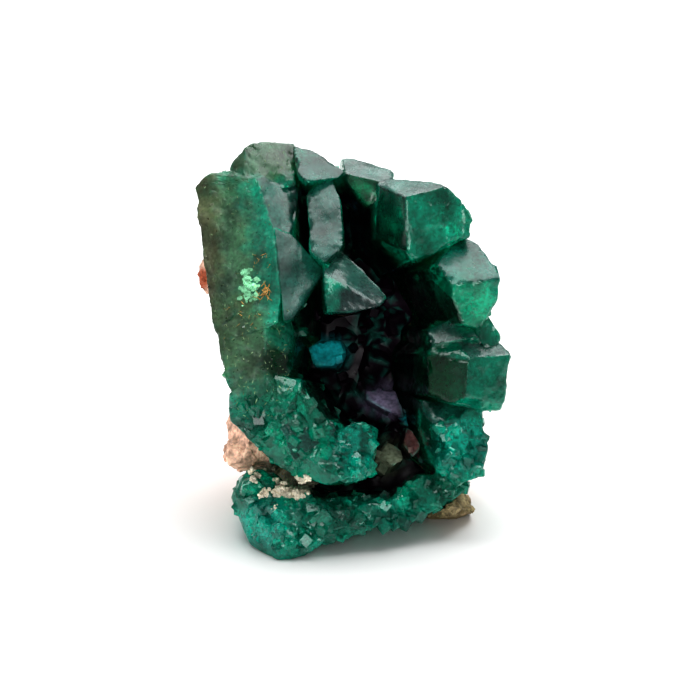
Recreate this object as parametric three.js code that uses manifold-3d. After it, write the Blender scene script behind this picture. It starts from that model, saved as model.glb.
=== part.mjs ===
// Dioptase: emerald green crystals, grown through each other round a dark hollow, on a peach carbonate rock.
// Lengths are millimetres. The display face leans back on a flat base. On the face x runs right, z runs up
// and y runs into the stone, so that what stands nearest the viewer has the smallest y.
import * as THREE from 'three';
import { ConvexGeometry } from 'three/addons/geometries/ConvexGeometry.js';
import { mergeVertices } from 'three/addons/utils/BufferGeometryUtils.js';
import Module from 'manifold-3d';

const wasm = await Module();
wasm.setup();

// Driving dimensions
const FACE_LEAN = THREE.MathUtils.degToRad(20); // the display face leans back from upright
const FOOT_DEPTH = -8; // the foremost point of the foot, where the face meets the ground
const ROOT_DEPTH = 8; // the crystals are rooted this far into the stone
const HOLLOW_FLOOR = 5; // depth of the bottom of the hollow
const HOLLOW_MOUTH = -1; // deeper than this is inside the hollow
const GAP = 0.3; // clearance between pieces bedded in each other
const RHOMB_TILT = THREE.MathUtils.degToRad(51); // between a crystal's axis and the normal of an end face
const SIXTH_TURN = Math.PI / 3;
const GOLDEN_TURN = Math.PI * (3 - Math.sqrt(5));
const SLANT = 0.7; // how far a small crystal may point away from straight out of its seat
const TRIES = 8; // places looked at for each small crystal wanted, as some don't suit
const TOUCH = 1e-4; // corners closer than this to a facet lie on it
const CORNER_MERGE = 0.03; // corners closer together than this are one
const SKEW = new THREE.Vector3(0.31, 0.24, 0.92); // any direction that no crystal points along
const SIGHT = 60; // distance from which the crystals are looked at, clear of them all

// Crystals of the display face. The outline runs clockwise as the viewer sees it, at the depth "at".
// "lean" is how far the crystal points right and up for each millimetre it comes forward.
// Each facet is a point on it and the way it faces. "root" is its back end, where that isn't ROOT_DEPTH.
const FACE_CRYSTALS = {
  left_tower: {
    outline: [
      [-16.4, 37.9], [-15.8, 38.5], [-14.6, 39.1], [-12.4, 39.4], [-5.6, 37.5],
      [-5.2, 35.2], [-5.2, 23], [-11.5, 21], [-12.4, 23],
    ],
    at: -1, lean: [-0.3, 0.12],
    facets: [
      [[-7.6, -4, 32.4], [-0.33, -0.88, 0.34]],
      [[-7.8, -3.6, 33.4], [0.28, -0.82, 0.5]],
      [[-7.6, -4, 32.4], [0.25, -0.88, 0.4]],
      [[-11, -1.1, 38], [-0.1, -0.5, 0.86]],
    ],
  },
  left_wedge: {
    outline: [[-7.5, 33.1], [-6, 32.7], [-2.6, 28.8], [-5.8, 24], [-6.6, 23.8]],
    at: -4, lean: [0.03, 0.02],
    facets: [[[-7.5, -4.2, 32.4], [0.25, -0.88, 0.4]]],
  },
  top_left: {
    outline: [[-12, 39.3], [-11.3, 40.9], [-10.1, 41.9], [-9.3, 42.2], [-5.8, 42], [-5.2, 37], [-9, 36]],
    at: 2, lean: [-0.12, 0.2],
    facets: [
      [[-8.5, 0.3, 39.6], [0.05, -0.86, 0.5]],
      [[-10.9, 0.8, 40.2], [-0.6, -0.7, 0.4]],
    ],
  },
  top_middle: {
    outline: [
      [-5.7, 41.7], [-4.9, 41.8], [-4, 41.1], [-0.3, 40.2],
      [0, 39], [-1.2, 37.6], [-4.4, 37.1], [-5.2, 38],
    ],
    at: 1, lean: [0, 0.2],
    facets: [[[-3, -1.4, 39.6], [0.05, -0.72, 0.69]]],
  },
  top_right: {
    outline: [
      [-0.8, 40.4], [-0.5, 40.7], [0.8, 40.3], [3.1, 40.1],
      [4.2, 38.7], [4, 36], [1.5, 35], [-0.5, 37.5],
    ],
    at: 1, lean: [0.05, 0.2],
    facets: [
      [[1.5, -1, 39], [0.08, -0.55, 0.83]],
      [[1.5, -2, 37.4], [-0.25, -0.95, -0.1]],
    ],
  },
  centre_column: {
    outline: [
      [-4.3, 37.1], [-3.3, 38.3], [-1.8, 38.7], [-1.1, 36.5],
      [-0.6, 30.8], [-2.5, 29], [-3.9, 30.4],
    ],
    at: -4, lean: [0, 0.25],
    facets: [[[-2.5, -4.4, 34], [-0.14, -0.84, 0.53]]],
  },
  centre_wedge: {
    outline: [[-2.6, 29.3], [-0.6, 30.8], [3.6, 26.3], [2.9, 25.4], [0, 24.7], [-2.4, 24.7]],
    at: -6, lean: [0.06, 0],
    facets: [
      [[-1, -6.6, 28.6], [0.14, -0.9, 0.42]],
      [[2.6, -6.9, 26.1], [0.35, -0.6, 0.72]],
    ],
  },
  upper_right: {
    outline: [
      [3.2, 38.1], [5.2, 38.4], [7.4, 37.9], [9.3, 36.9], [11, 35.6],
      [12, 34], [11.7, 32.3], [7.8, 30.4], [5.6, 29.8], [3.2, 32.5],
    ],
    at: -4, lean: [0.32, 0.15],
    facets: [
      [[8, -5.6, 34], [0.22, -0.96, -0.1]],
      [[4, -5.9, 36.2], [-0.15, -0.45, 0.87]],
      [[4.6, -5, 34], [-0.8, -0.6, -0.08]],
    ],
  },
  right_upper: {
    outline: [
      [7.9, 28.9], [10.2, 31.2], [11.9, 32.2], [13.2, 31.7], [14.6, 29.2],
      [14.3, 26], [13.6, 24.5], [12.6, 23.2], [10.5, 23.7], [9.4, 26],
    ],
    at: -5, lean: [0.32, 0.02],
    facets: [
      [[11.4, -6, 29], [0.08, -0.72, 0.69]],
      [[12, -6.7, 26], [0.25, -0.94, -0.22]],
      [[9.2, -5.8, 27.4], [-0.86, -0.5, -0.1]],
    ],
  },
  right_bud: {
    outline: [[12.5, 23.6], [13.7, 24.4], [14.6, 23.2], [15, 22.2], [14, 21.3], [13, 21.4], [12.3, 22.4]],
    at: -4, lean: [0.3, 0],
    facets: [
      [[13.6, -4.8, 22.8], [0.1, -0.95, 0.3]],
      [[14.4, -4.6, 22.8], [0.7, -0.68, 0.2]],
    ],
  },
  right_ledge: {
    outline: [[7.8, 22.9], [10, 24], [12, 23.2], [12.8, 21.8], [11.6, 20], [8, 20]],
    at: -4, lean: [0.25, 0],
    facets: [
      [[10, -4.6, 22.6], [-0.16, -0.76, 0.62]],
      [[10, -5, 21.4], [0, -0.95, -0.3]],
    ],
  },
  right_middle: {
    outline: [
      [7.6, 20.6], [9, 22.3], [12.6, 22], [15, 21.8], [15.8, 20.3],
      [15.5, 17], [15, 15.2], [13.5, 14.9], [9.5, 15.8], [7.9, 16.6],
    ],
    at: -5, lean: [0.3, 0],
    facets: [
      [[14, -6.4, 20.6], [0.12, -0.5, 0.86]],
      [[9.9, -6.4, 18.5], [-0.5, -0.86, -0.06]],
      [[13.5, -6.6, 18], [0.34, -0.93, -0.12]],
      [[10, -6, 20.7], [-0.3, -0.66, 0.68]],
      [[13, -6.2, 15.9], [0.1, -0.6, -0.8]],
    ],
  },
  lower_right: {
    outline: [[7.3, 15.8], [13.1, 15.2], [13.6, 11.2], [12.7, 8.7], [10.5, 7.8], [8.6, 9.6], [7.3, 13.6]],
    at: -4, lean: [0.28, -0.1],
    facets: [
      [[9.2, -4.6, 14.2], [-0.18, -0.78, 0.6]],
      [[11.8, -5, 11.8], [0.3, -0.94, 0.16]],
      [[8.6, -4.5, 11.4], [-0.7, -0.7, -0.1]],
    ],
  },
  left_shoulder: {
    outline: [
      [-13.5, 22.8], [-11, 25], [-7, 25], [-5.9, 24], [-5.4, 21.4],
      [-5.7, 19.2], [-7, 13], [-11, 14.4], [-12.4, 18.2], [-12.8, 20.8],
    ],
    at: -5, lean: [-0.12, 0.02],
    facets: [
      [[-9.2, -7.4, 21.5], [-0.28, -0.9, 0.33]],
      [[-9.8, -8.1, 17], [-0.25, -0.96, 0.05]],
      [[-6.4, -6.6, 20], [0.6, -0.75, 0.25]],
    ],
  },
  lower_left: {
    outline: [
      [-11.5, 16.6], [-8, 19.4], [-5.2, 18.9], [-4.4, 17.7], [-0.4, 16.4], [1.2, 13.8],
      [2, 9], [-1.5, 7.6], [-5, 8.6], [-8, 10.6], [-11.5, 14],
    ],
    at: -5, lean: [-0.15, 0.02],
    facets: [
      [[-6, -8.8, 14], [-0.12, -0.98, 0.12]],
      [[-4, -8, 17], [0.2, -0.82, 0.52]],
      [[-1, -8, 14.6], [0.42, -0.84, 0.3]],
      [[-7.6, -8.4, 11.4], [-0.4, -0.78, -0.46]],
    ],
  },
  lower_rhomb: {
    outline: [[-6.7, 13.2], [-5.2, 14.6], [-1.6, 13.9], [-0.9, 12.8], [-4.8, 9.4]],
    at: -7, lean: [-0.1, 0],
    facets: [
      [[-4, -9.3, 12.6], [0.06, -0.95, 0.3]],
      [[-2.6, -9.2, 12], [0.5, -0.72, -0.48]],
    ],
  },
  seam_block: {
    outline: [[-1.2, 13], [1.2, 13.7], [2.7, 13.1], [2.4, 10.8], [1.5, 8.4], [-0.5, 7.7], [-2.4, 9.2]],
    at: -6, lean: [0, 0.05],
    facets: [
      [[0, -8.8, 11.4], [-0.1, -0.96, 0.26]],
      [[1.8, -8.2, 11], [0.6, -0.78, 0.16]],
    ],
  },
  seam_bud: {
    outline: [[-11.4, 8.2], [-10.3, 9], [-8.6, 9], [-7.5, 8], [-7.6, 6.4], [-9.5, 5.8], [-11.2, 6.2]],
    at: -5, lean: [-0.2, 0.1], root: -2,
    facets: [
      [[-9.2, -5.8, 7.6], [0.1, -0.84, 0.5]],
      [[-10.6, -5.4, 7.6], [-0.7, -0.66, 0.3]],
    ],
  },
  foot_left: {
    outline: [
      [-12.1, 6.2], [-11.4, 7.9], [-9, 7.6], [-4, 6.5], [-1, 4],
      [-2.8, 1.6], [-6.2, -0.1], [-7.3, 0.1], [-10, 1.6], [-11, 3.4],
    ],
    at: -5, lean: [-0.1, 0],
    facets: [
      [[-9, -6, 4], [-0.75, -0.65, -0.1]],
      [[-5.5, -7.8, 3], [0.16, -0.97, -0.16]],
      [[-7, -6.8, 6.2], [-0.05, -0.66, 0.75]],
    ],
  },
  foot_middle: {
    outline: [[-5, 6.4], [0, 6.3], [4, 6.3], [5.6, 3.2], [3, 2.3], [-0.6, 2.3], [-4.5, 0.7]],
    at: -5, lean: [0, 0],
    facets: [
      [[0, -6.8, 4], [0.14, -0.98, -0.05]],
      [[0, -6, 6], [0, -0.66, 0.75]],
    ],
  },
  foot_right: {
    outline: [[3.5, 5.6], [7, 8.4], [10.5, 8.2], [12.9, 7.1], [11.4, 6.4], [8.4, 4.8], [7, 3.8], [4, 2.8]],
    at: -3, lean: [0.1, 0], root: 3,
    facets: [
      [[8, -4, 6], [0.25, -0.94, 0.22]],
    ],
  },
};

// Crystals that catch the light inside the hollow
const HOLLOW_CRYSTALS = {
  teal_block: {
    outline: [[-4.1, 21.2], [-3.4, 21.9], [-1, 22], [-0.6, 20.8], [-1.6, 19.3], [-3.4, 19.4]],
    at: 0, lean: [-0.1, 0.1],
    facets: [[[-2.4, -0.4, 20.6], [0, -0.92, 0.38]]],
  },
  grey_plate: {
    outline: [[1.6, 16.8], [4.6, 17], [5.3, 14.2], [3.5, 14.8], [1.7, 16]],
    at: 1, lean: [0, 0.1],
    facets: [[[3.4, 0.6, 15.8], [0.05, -0.8, 0.6]]],
  },
  maroon_prism: {
    outline: [[5.8, 13.2], [7.3, 12.6], [7.7, 11.7], [6.2, 10.2], [5.4, 11.4]],
    at: -0.5, lean: [0.1, 0.1],
    facets: [[[6.4, -1, 11.8], [-0.2, -0.85, 0.5]]],
  },
  olive_plate: {
    outline: [[2.3, 9.7], [3.7, 11.9], [5.2, 10.8], [5.3, 9.9], [3.1, 8.4]],
    at: 0, lean: [0, 0.1],
    facets: [[[3.8, -0.6, 10.2], [-0.12, -0.76, 0.64]]],
  },
};

// The rock: two broken blocks behind the crystals and down their left flank
const ROCK_BLOCKS = {
  back: {
    outline: [
      [-12, 36], [-8, 39], [3, 37.5], [9, 34], [12.5, 29], [13.5, 20],
      [12, 10], [11, 5], [-9.5, 4], [-11, 12], [-12.4, 24],
    ],
    at: 8, lean: [0, 0], root: 14,
    facets: [
      [[0, 5.5, 20], [0.05, -1, 0]],
      [[2, 13, 18], [0.12, 0.98, -0.12]],
      [[-9, 11.4, 24], [-0.6, 0.8, 0.05]],
      [[9.6, 11.6, 20], [0.62, 0.77, 0.1]],
      [[-1, 12, 33], [-0.1, 0.82, 0.56]],
    ],
  },
  left: {
    outline: [
      [-14.8, 36.4], [-8, 38], [-6, 30], [-6, 11],
      [-11, 12.5], [-12, 18.5], [-13.1, 24], [-14, 31],
    ],
    at: 8, lean: [0, 0], root: 12,
    facets: [
      [[-13, 3, 24], [-0.5, -0.86, 0]],
      [[-13.2, 8, 30], [-0.86, 0.4, 0.3]],
      [[-12.4, 9, 17], [-0.85, 0.5, -0.1]],
    ],
  },
};

// Lumps of the rock that come into view: their middle and half sizes
const ROCK_LUMPS = {
  upper_bump: { middle: [-12.6, 3.6, 28.9], half: [3.2, 4, 2.8] },
  lower_bump: { middle: [-9.3, 3, 12.7], half: [3.6, 7, 4.1] },
  lower_knob: { middle: [-11, -1, 10.6], half: [1.9, 2.6, 2] },
  seam_tongue: { middle: [-6.8, -1.8, 8], half: [3, 4.8, 1.6] },
  right_foot: { middle: [9.6, 3, 5.2], half: [3.2, 6.4, 1.5] },
};
const LUMP_FACES = 16;
const ROCK_CHUNKS = { number: 26, half: [1.8, 4], sunk: 0.6 }; // strewn over the blocks

// Fields of small crystals seated on the face: their number, the area they are strewn over,
// their widths, and how far they stand out against their width
const FACE_DRUSE = [
  { number: 18, from: [-11.5, 0.4], to: [-2, 7.2], width: [1.6, 3.4], stand: 0.2 },
  { number: 14, from: [-3, 2.4], to: [5, 6.4], width: [1.4, 3], stand: 0.2 },
  { number: 10, from: [5, 3.6], to: [12.5, 8.2], width: [1.2, 2.2], stand: 0.2 },
  { number: 18, from: [-11, 8.5], to: [2, 17], width: [1.6, 3.2], stand: 0.18 },
  { number: 8, from: [9, 8], to: [13, 13.5], width: [1.4, 2.6], stand: 0.2 },
];
const SIDE_DRUSE = { number: 30, width: [2.8, 5.6], stand: 0.35 };
const HOLLOW_DRUSE = { number: 30, from: [-4, 8], to: [7.6, 36.5], width: [1.6, 3.6], stand: 0.5 };

// Repeatable random numbers from 0 to 1
let randomState = 7;
function random() {
  randomState = (randomState * 16807) % 2147483647;
  return randomState / 2147483647;
}

function randomBetween(low, high) {
  return low + (high - low) * random();
}

// The plane of a flat facet; the crystal lies behind it.
function facet(point, way) {
  const normal = new THREE.Vector3(...way).normalize();
  return new THREE.Plane().setFromNormalAndCoplanarPoint(normal, new THREE.Vector3(...point));
}

function grown(planes, by) {
  return planes.map((plane) => new THREE.Plane(plane.normal, plane.constant - by));
}

// The point where three planes meet, or null where two of them run alongside
function meetingPoint(a, b, c) {
  const bc = b.normal.clone().cross(c.normal);
  const ca = c.normal.clone().cross(a.normal);
  const ab = a.normal.clone().cross(b.normal);
  const volume = a.normal.dot(bc);
  if (Math.abs(volume) < TOUCH) return null;
  return bc.multiplyScalar(-a.constant)
    .addScaledVector(ca, -b.constant)
    .addScaledVector(ab, -c.constant)
    .divideScalar(volume);
}

// The corners of the convex crystal that lies behind all its facets
function cornersOf(planes) {
  const corners = [];
  planes.forEach((a, i) => planes.slice(0, i).forEach((b, j) => planes.slice(0, j).forEach((c) => {
    const corner = meetingPoint(a, b, c);
    if (!corner) return;
    if (planes.some((plane) => plane.distanceToPoint(corner) > TOUCH)) return;
    if (corners.some((known) => known.distanceTo(corner) < CORNER_MERGE)) return;
    corners.push(corner);
  })));
  return corners;
}

function crystalGeometry(planes) {
  return new ConvexGeometry(cornersOf(planes));
}

function solidOf(geometry) {
  geometry.deleteAttribute('normal');
  geometry.deleteAttribute('uv');
  const merged = mergeVertices(geometry, TOUCH);
  return new wasm.Manifold(new wasm.Mesh({
    numProp: 3,
    vertProperties: merged.attributes.position.array,
    triVerts: new Uint32Array(merged.index.array),
  }));
}

function joined(crystals) {
  return crystals
    .map((planes) => solidOf(crystalGeometry(planes)))
    .reduce((whole, solid) => whole.add(solid));
}

// A crystal with a given outline on the face: its sides run along its lean, its facets end it in front.
function outlinedCrystal({ outline, at, lean, facets, root = ROOT_DEPTH }) {
  const axis = new THREE.Vector3(lean[0], -1, lean[1]);
  const sides = outline.map(([x, z], i) => {
    const [nextX, nextZ] = outline[(i + 1) % outline.length];
    const edge = new THREE.Vector3(nextX - x, 0, nextZ - z);
    return facet([x, at, z], axis.clone().cross(edge));
  });
  const ends = facets.map(([point, way]) => facet(point, way));
  return [...sides, ...ends, facet([0, root, 0], [0, 1, 0])];
}

// A crystal of the usual dioptase form: a six-sided prism with three end faces that slope to a point.
function dioptaseCrystal({ foot, along, spin, width, length }) {
  const axis = along.clone().normalize();
  const across = SKEW.clone().cross(axis).normalize();
  const tip = foot.clone().addScaledVector(axis, length);
  const planes = [facet(foot, axis.clone().negate())];
  for (let side = 0; side < 6; side += 1) {
    const outward = across.clone().applyAxisAngle(axis, spin + side * SIXTH_TURN);
    planes.push(facet(foot.clone().addScaledVector(outward, width / 2), outward));
  }
  for (let end = 0; end < 3; end += 1) {
    const outward = across.clone().applyAxisAngle(axis, spin + (2 * end + 0.5) * SIXTH_TURN);
    const alongAxis = axis.clone().multiplyScalar(Math.cos(RHOMB_TILT));
    planes.push(facet(tip, alongAxis.addScaledVector(outward, Math.sin(RHOMB_TILT))));
  }
  return planes;
}

// Where a line of sight first meets the crystals, and the way their surface faces there
function seatOn(meshes, from, towards) {
  const [hit] = new THREE.Raycaster(from, towards.clone().normalize()).intersectObjects(meshes, false);
  return hit ? { point: hit.point, normal: hit.face.normal } : null;
}

function sightMesh(planes) {
  return new THREE.Mesh(crystalGeometry(planes));
}

// A small crystal seated in a surface, pointing out of it at a chance slant
function seatedCrystal({ point, normal }, { width: [narrow, wide], stand }) {
  const width = randomBetween(narrow, wide);
  const slant = new THREE.Vector3(randomBetween(-1, 1), randomBetween(-1, 1), randomBetween(-1, 1));
  const along = normal.clone().addScaledVector(slant, SLANT).normalize();
  const foot = point.clone().addScaledVector(along, -width);
  return dioptaseCrystal({
    foot, along, width,
    spin: random() * SIXTH_TURN,
    length: width * (1 + stand * randomBetween(0.6, 1.4)),
  });
}

// Where the viewer of the face sees the crystals at a place on it
function seenOnFace(meshes, x, z) {
  return seatOn(meshes, new THREE.Vector3(x, -SIGHT, z), new THREE.Vector3(0, 1, 0));
}

// Whether a crystal keeps inside the outline of the others, as the viewer of the face sees it
function staysInside(meshes, planes) {
  return cornersOf(planes).every(({ x, z }) => seenOnFace(meshes, x, z));
}

// Whether the viewer of the face sees nothing of a crystal
function staysBehind(meshes, planes) {
  return cornersOf(planes).every(({ x, y, z }) => seenOnFace(meshes, x, z)?.point.y < y);
}

// Small crystals strewn over an area of the face
function faceDruse(meshes, field, accept) {
  const druse = [];
  for (let tries = 0; druse.length < field.number && tries < TRIES * field.number; tries += 1) {
    const x = randomBetween(field.from[0], field.to[0]);
    const z = randomBetween(field.from[1], field.to[1]);
    const seat = seenOnFace(meshes, x, z);
    if (!seat || !accept(seat)) continue;
    const planes = seatedCrystal(seat, field);
    if (staysInside(meshes, planes)) druse.push(planes);
  }
  return druse;
}

// Crystals on the top and the two sides, which the face doesn't show
function sideDruse(meshes, field) {
  const druse = [];
  for (let tries = 0; druse.length < field.number && tries < TRIES * field.number; tries += 1) {
    const angle = randomBetween(-0.15, 1.15) * Math.PI;
    const target = new THREE.Vector3(0, randomBetween(-2, 6), randomBetween(8, 32));
    const away = new THREE.Vector3(Math.cos(angle), randomBetween(-0.1, 0.3), Math.sin(angle));
    const start = target.clone().addScaledVector(away, SIGHT);
    const seat = seatOn(meshes, start, away.negate());
    if (!seat) continue;
    const planes = seatedCrystal(seat, field);
    if (staysBehind(meshes, planes)) druse.push(planes);
  }
  return druse;
}

// A broken lump of rock: flat faces set unevenly round an egg shape
function rockLump({ middle, half }) {
  const centre = new THREE.Vector3(...middle);
  const radii = new THREE.Vector3(...half);
  const planes = [];
  for (let i = 0; i < LUMP_FACES; i += 1) {
    const height = 1 - (2 * i + 1) / LUMP_FACES;
    const turn = GOLDEN_TURN * i + randomBetween(-0.4, 0.4);
    const ring = Math.sqrt(1 - height * height);
    const out = new THREE.Vector3(ring * Math.cos(turn), ring * Math.sin(turn), height);
    const point = out.clone().multiply(radii).multiplyScalar(randomBetween(0.8, 1)).add(centre);
    planes.push(facet(point, out.divide(radii)));
  }
  return planes;
}

// Chunks that break up the back and the left flank of the rock
function rockChunks(rockMeshes, { number, half: [small, large], sunk }) {
  const chunks = [];
  for (let tries = 0; chunks.length < number && tries < TRIES * number; tries += 1) {
    const target = new THREE.Vector3(randomBetween(-9, 9), 9, randomBetween(6, 34));
    const away = new THREE.Vector3(randomBetween(-1, 0.8), randomBetween(0.1, 1), randomBetween(-0.2, 0.6));
    const seat = seatOn(rockMeshes, target.clone().addScaledVector(away, SIGHT), away.clone().negate());
    if (!seat) continue;
    const half = [randomBetween(small, large), randomBetween(small, large), randomBetween(small, large)];
    const middle = seat.point.addScaledVector(seat.normal, -sunk * Math.min(...half));
    const planes = rockLump({ middle, half });
    if (staysBehind(faceMeshes, planes)) chunks.push(planes);
  }
  return chunks;
}

// What lies under the flat base, as the leaning face sees it
function groundSolid() {
  const size = 200;
  const geometry = new THREE.BoxGeometry(size, size, size);
  geometry.translate(0, 0, -size / 2);
  geometry.rotateX(FACE_LEAN);
  geometry.translate(0, FOOT_DEPTH, 0);
  return solidOf(geometry);
}

// The largest body of a solid; the crumbs that a cut leaves are dropped.
function largestBody(solid) {
  return solid.decompose().reduce((best, body) => (body.volume() > best.volume() ? body : best));
}

function pieceMesh(name, solid, material) {
  const { vertProperties, triVerts } = solid.getMesh();
  const indexed = new THREE.BufferGeometry();
  indexed.setAttribute('position', new THREE.BufferAttribute(vertProperties, 3));
  indexed.setIndex(new THREE.BufferAttribute(triVerts, 1));
  const geometry = indexed.toNonIndexed();
  geometry.computeVertexNormals();
  const mesh = new THREE.Mesh(geometry, material);
  mesh.name = name;
  return mesh;
}

const faceCrystals = Object.values(FACE_CRYSTALS).map(outlinedCrystal);
const faceMeshes = faceCrystals.map(sightMesh);
const clusterCrystals = [
  ...faceCrystals,
  ...FACE_DRUSE.flatMap((field) => faceDruse(faceMeshes, field, () => true)),
  ...sideDruse(faceMeshes, SIDE_DRUSE),
];

// The hollow's floor and the crystals that stand on it
const hollowFloor = outlinedCrystal({
  outline: [[-6, 24], [-3, 37], [-1.5, 39], [3.5, 39], [8, 30], [9, 14], [8, 6.4], [-4.6, 6.4], [-5.4, 17]],
  at: HOLLOW_FLOOR, lean: [0, 0], facets: [[[0, HOLLOW_FLOOR, 20], [0, -1, 0]]],
});
const inHollow = ({ point }) => point.y > HOLLOW_MOUTH;
const hollowMeshes = [...faceMeshes, sightMesh(hollowFloor)];
const crustCrystals = [
  hollowFloor,
  ...Object.values(HOLLOW_CRYSTALS).map(outlinedCrystal),
  ...faceDruse(hollowMeshes, HOLLOW_DRUSE, inHollow),
];

const ground = groundSolid();
const cluster = largestBody(joined(clusterCrystals).subtract(ground));
const clusterRoom = joined(clusterCrystals.map((planes) => grown(planes, GAP)));
const crust = largestBody(joined(crustCrystals).subtract(clusterRoom).subtract(ground));
const crustRoom = joined(crustCrystals.map((planes) => grown(planes, GAP)));
const rockBlocks = Object.values(ROCK_BLOCKS).map(outlinedCrystal);
const rock = joined([
  ...rockBlocks,
  ...Object.values(ROCK_LUMPS).map(rockLump),
  ...rockChunks(rockBlocks.map(sightMesh), ROCK_CHUNKS),
]);
const matrix = largestBody(rock.subtract(clusterRoom).subtract(crustRoom).subtract(ground));

const face = new THREE.Group();
face.rotation.x = -FACE_LEAN;
face.add(pieceMesh('dioptase_cluster', cluster, new THREE.MeshStandardMaterial({
  color: '#007358', roughness: 0.15, metalness: 0,
})));
face.add(pieceMesh('hollow_crust', crust, new THREE.MeshStandardMaterial({
  color: '#1a1020', roughness: 0.2, metalness: 0,
})));
face.add(pieceMesh('matrix', matrix, new THREE.MeshStandardMaterial({
  color: '#dcae94', roughness: 0.9, metalness: 0,
})));

// Stand the specimen with the middle of its base at the origin
const bounds = new THREE.Box3().setFromObject(face, true);
const middle = bounds.getCenter(new THREE.Vector3());
face.position.set(-middle.x, -middle.y, -bounds.min.z);

const specimen = new THREE.Group();
specimen.add(face);
export default specimen;
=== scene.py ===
import math
import random

import bmesh
import bpy
import numpy as np
from mathutils import Matrix, Vector, noise
from mathutils.bvhtree import BVHTree


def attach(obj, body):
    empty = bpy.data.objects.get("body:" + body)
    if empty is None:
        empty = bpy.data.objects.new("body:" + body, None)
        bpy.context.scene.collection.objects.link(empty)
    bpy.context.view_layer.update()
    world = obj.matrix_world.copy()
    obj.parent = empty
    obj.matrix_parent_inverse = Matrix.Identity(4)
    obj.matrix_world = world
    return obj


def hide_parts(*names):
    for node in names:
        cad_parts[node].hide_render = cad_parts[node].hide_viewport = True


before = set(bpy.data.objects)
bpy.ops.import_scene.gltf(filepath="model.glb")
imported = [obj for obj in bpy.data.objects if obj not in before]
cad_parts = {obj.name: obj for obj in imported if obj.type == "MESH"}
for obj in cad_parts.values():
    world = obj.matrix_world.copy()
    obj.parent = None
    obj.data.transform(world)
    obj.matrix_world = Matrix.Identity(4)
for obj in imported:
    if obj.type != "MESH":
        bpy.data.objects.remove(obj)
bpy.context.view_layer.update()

MM = 0.001
FACE_LEAN = math.radians(20)
FACE_ZERO = Vector((-0.157, -8.876, -2.736))  # the zero of the face's own axes, in the frame
chance = random.Random(11)
FROM_FACE = Matrix.Scale(MM, 4) @ Matrix.Translation(FACE_ZERO) @ Matrix.Rotation(-FACE_LEAN, 4, "X")
TO_FACE = FROM_FACE.inverted()


def paint(red, green, blue):
    """A colour as the eye reads it, 0 to 255, in the linear values that shaders take."""
    shares = np.array((red, green, blue)) / 255
    return np.where(shares < 0.04045, shares / 12.92, ((shares + 0.055) / 1.055) ** 2.4)


# Colours of the crystals
EMERALD = paint(0, 200, 164)
# painted glow of light shining through a crystal
EMERALD_GLOW = paint(0, 250, 196)
TEAL = paint(0, 222, 196)
BRIGHT_TEAL = paint(30, 255, 228)
GLINT_TEAL = paint(70, 180, 160)
DULL_TEAL = paint(24, 132, 124)
DEEP_GREEN = paint(0, 90, 48)
# painted shade on the sides and facets that look into the hollow
SHADE_GREEN = paint(0, 30, 22)
OLIVE = paint(116, 146, 100)
BROWN_OLIVE = paint(130, 122, 84)
DARK_OLIVE = paint(96, 104, 72)
# grey of frosted facets, with a painted reflection of the light overhead
SLATE_SHEEN = paint(66, 108, 108)
PALE_SLATE_SHEEN = paint(116, 158, 154)
MINT = paint(160, 236, 188)
STRAW = paint(216, 172, 104)
FLECK = paint(168, 196, 150)
# painted reflection on a facet in the hollow
PURPLE_GREY_SHEEN = paint(134, 124, 150)
DUSK = paint(62, 62, 72)
# near black: the dark crystals of the hollow together with painted shade of the deep hollow
HOLLOW_BLACK_AND_SHADE = paint(26, 6, 26)
MAROON = paint(104, 70, 68)
HOLLOW_TEAL = paint(30, 162, 168)
HOLLOW_OLIVE = paint(124, 132, 112)

# Colours of the rock
PEACH = paint(250, 208, 184)
RUST = paint(168, 74, 30)
CREAM = paint(244, 234, 214)
TAN = paint(150, 136, 102)

# Stains and tints of the crystals, and one painted glow where light shines through, from the widest to the
# smallest: middle, reach, colour and strength
CRYSTAL_ZONES = (
    ((-13.6, 30), (4, 9.5), OLIVE, 0.75),
    ((-15.2, 31), (2.2, 9), BROWN_OLIVE, 0.8),
    ((-8.6, 40.4), (3.8, 2.4), DARK_OLIVE, 0.8),
    ((-11, 22), (3.4, 4.5), OLIVE, 0.75),
    ((-9.4, 18.4), (3.2, 2.6), OLIVE, 0.3),
    ((-7.5, 19.8), (1.5, 1.5), DEEP_GREEN, 1.0),
    ((11.6, 26), (2.4, 3), EMERALD_GLOW, 0.9),
    ((11, 11.4), (3, 3.4), TEAL, 0.9),
    ((0.6, 11.2), (2.4, 3), TEAL, 0.8),
    ((8.6, 18.4), (1.6, 3.4), DEEP_GREEN, 0.6),
    ((1, 25.8), (2.8, 1.5), DUSK, 0.9),
    ((-2, 3.4), (12, 4.2), TEAL, 0.4),
    ((-9, 3.6), (2.6, 2.6), BRIGHT_TEAL, 0.8),
    ((-1.4, 3.8), (3.4, 1.8), DEEP_GREEN, 0.35),
)
HOLLOW_MIDDLE = (2.2, 21)
# Painted shade in the hollow and the crevices that lead into it: middle, reach, and the depth where the
# painted shade starts
SHADED_PLACES = (
    (HOLLOW_MIDDLE, (6.8, 13.5), -3.2),
    ((-4.9, 33.6), (1.2, 5), -3.4),
    ((0.6, 35), (2.4, 3.8), -3.2),
)
SHADE_FADE = 2.5
HOLLOW_RIM = (9.5, 15)
HOLLOW_HALF_HEIGHT = 9
HOLLOW_BOTTOM = 7  # the depth past which no shade is painted
SHADE = 0.8  # how far painted shade darkens the sides that look into the hollow
INWARD_FROM = 0.35  # how far a side has to look into the hollow to get painted shade at all
INWARD_FADE = 0.3

# The longest edge that the cut solids may have, and how much longer it may be deep down or on what looks away
CRYSTAL_EDGE = 0.42
CRUST_EDGE = 0.45
ROCK_EDGE = 0.45
DEEP = 3
LOOKS_AWAY = 0.1
HIDDEN_COARSENESS = 2.4
SAME_POINT = 1e-3
SAME_FACET = math.radians(1)

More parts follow.
